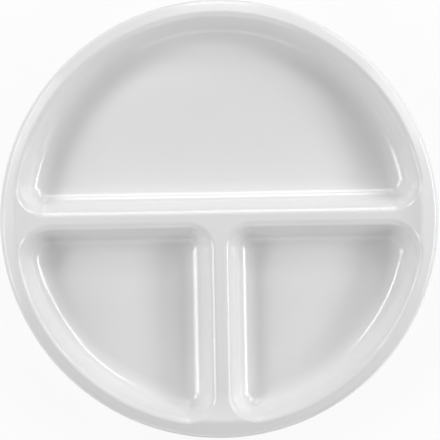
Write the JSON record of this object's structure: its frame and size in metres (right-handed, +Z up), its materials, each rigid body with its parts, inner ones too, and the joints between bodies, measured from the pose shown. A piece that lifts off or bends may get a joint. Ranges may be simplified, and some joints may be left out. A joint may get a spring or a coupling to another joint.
{
  "type": "divided plate",
  "caption": "Round gloss white plate with a raised T-shaped divider between a half-moon compartment and quarter compartments, standing on a soft non-slip ring.",
  "frame": {"origin": "on the table, under the middle of the plate", "axes": "+Z up, square to the table; +Y from the short divider towards the large compartment; +X to the right with the large compartment at the far side"},
  "size_m": [0.254, 0.254, 0.027],
  "materials": {
    "white_melamine": "glossy, press moulded",
    "soft_rubber": "matte, moulded"
  },
  "bodies": {
    "root": {"plate": "white_melamine", "non_slip_ring": "soft_rubber"}
  },
  "joints": []
}
